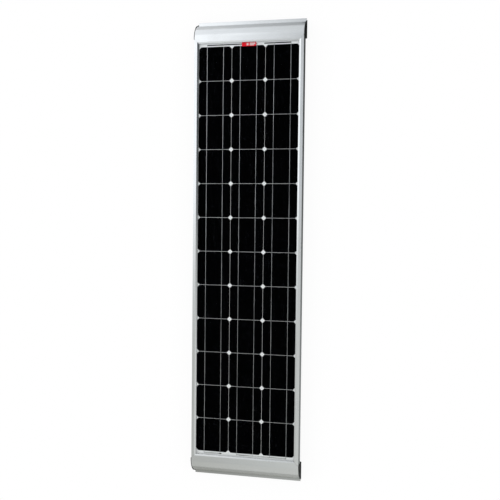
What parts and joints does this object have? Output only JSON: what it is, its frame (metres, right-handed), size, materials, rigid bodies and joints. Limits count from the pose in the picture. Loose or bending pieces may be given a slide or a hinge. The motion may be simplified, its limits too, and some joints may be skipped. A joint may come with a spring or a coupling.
{
  "type": "solar panel",
  "caption": "Slim framed solar panel of dark mono cells in narrow columns, with quarter-round end profiles that raise it off a vehicle roof and a junction box underneath.",
  "frame": {"origin": "on the roof surface that the panel is bonded to, under the middle of the panel: the centre of the bounding box's base", "axes": "+Z is the panel's normal, away from the roof; Y runs along the panel with the badge end at +Y; X runs across it"},
  "size_m": [0.4176, 1.729, 0.06],
  "materials": {
    "anodised_aluminium": "satin anodised",
    "cast_aluminium": "as cast",
    "black_plastic": "fine moulded grain",
    "solar_glass": "clear, tempered, low iron",
    "clear_film": "clear encapsulant",
    "silicon_cell": "near-black, antireflection coated",
    "tinned_copper": "tinned",
    "white_backsheet": "satin",
    "red_badge": "printed film",
    "silver_sticker": "matt film",
    "silicone_sealant": "matt",
    "black_rubber": "matt",
    "brass": "machined",
    "steel": "zinc plated",
    "diode_epoxy": "moulded"
  },
  "bodies": {
    "panel": {"backsheet": "white_backsheet", "box_adhesive_bead": "silicone_sealant", "bus_ribbon_bottom_left": "tinned_copper", "bus_ribbon_bottom_right": "tinned_copper", "bus_ribbon_top_left": "tinned_copper", "bus_ribbon_top_right": "tinned_copper", "bypass_diode_1": "diode_epoxy", "bypass_diode_2": "diode_epoxy", "cell_string_left": "silicon_cell", "cell_string_middle": "silicon_cell", "cell_string_right": "silicon_cell", "corner_key_bottom_left": "cast_aluminium", "corner_key_bottom_right": "cast_aluminium", "corner_key_top_left": "cast_aluminium", "corner_key_top_right": "cast_aluminium", "edge_sealant": "silicone_sealant", "end_cap_bottom_left": "black_plastic", "end_cap_bottom_right": "black_plastic", "end_cap_top_left": "black_plastic", "end_cap_top_right": "black_plastic", "end_spoiler_bottom": "anodised_aluminium", "end_spoiler_top": "anodised_aluminium", "front_badge": "red_badge", "front_encapsulant": "clear_film", "front_glass": "solar_glass", "gland_body_left": "black_plastic", "gland_body_right": "black_plastic", "gland_lock_nut_left": "black_plastic", "gland_lock_nut_right": "black_plastic", "gland_seal_left": "black_rubber", "gland_seal_right": "black_rubber", "junction_box_base": "black_plastic", "lead_ribbon_negative": "tinned_copper", "lead_ribbon_positive": "tinned_copper", "lead_ribbon_tap": "tinned_copper", "lid_hinge_pin": "steel", "rear_encapsulant": "clear_film", "rear_sticker": "silver_sticker", "return_ribbon": "tinned_copper", "side_rail_left": "anodised_aluminium", "side_rail_right": "anodised_aluminium", "terminal_negative": "brass", "terminal_positive": "brass", "terminal_screw_negative": "steel", "terminal_screw_positive": "steel", "terminal_screw_tap": "steel", "terminal_tap": "brass"},
    "lid": {"junction_box_lid": "black_plastic", "lid_seal": "black_rubber"},
    "gland_nut_left": {"gland_dome_nut_left": "black_plastic"},
    "gland_nut_right": {"gland_dome_nut_right": "black_plastic"}
  },
  "joints": [
    {"name": "lid_hinge", "type": "hinge", "parent": "panel", "child": "lid", "pos_m": [0, 0.7412, 0.0275], "axis": [1, 0, 0], "range_deg": [0, 105]},
    {"name": "gland_nut_left_turn", "type": "hinge", "parent": "panel", "child": "gland_nut_left", "pos_m": [-0.024, 0.63, 0.0382], "axis": [0, -1, 0], "range_deg": [0, 450]},
    {"name": "gland_nut_right_turn", "type": "hinge", "parent": "panel", "child": "gland_nut_right", "pos_m": [0.024, 0.63, 0.0382], "axis": [0, -1, 0], "range_deg": [0, 450]}
  ]
}
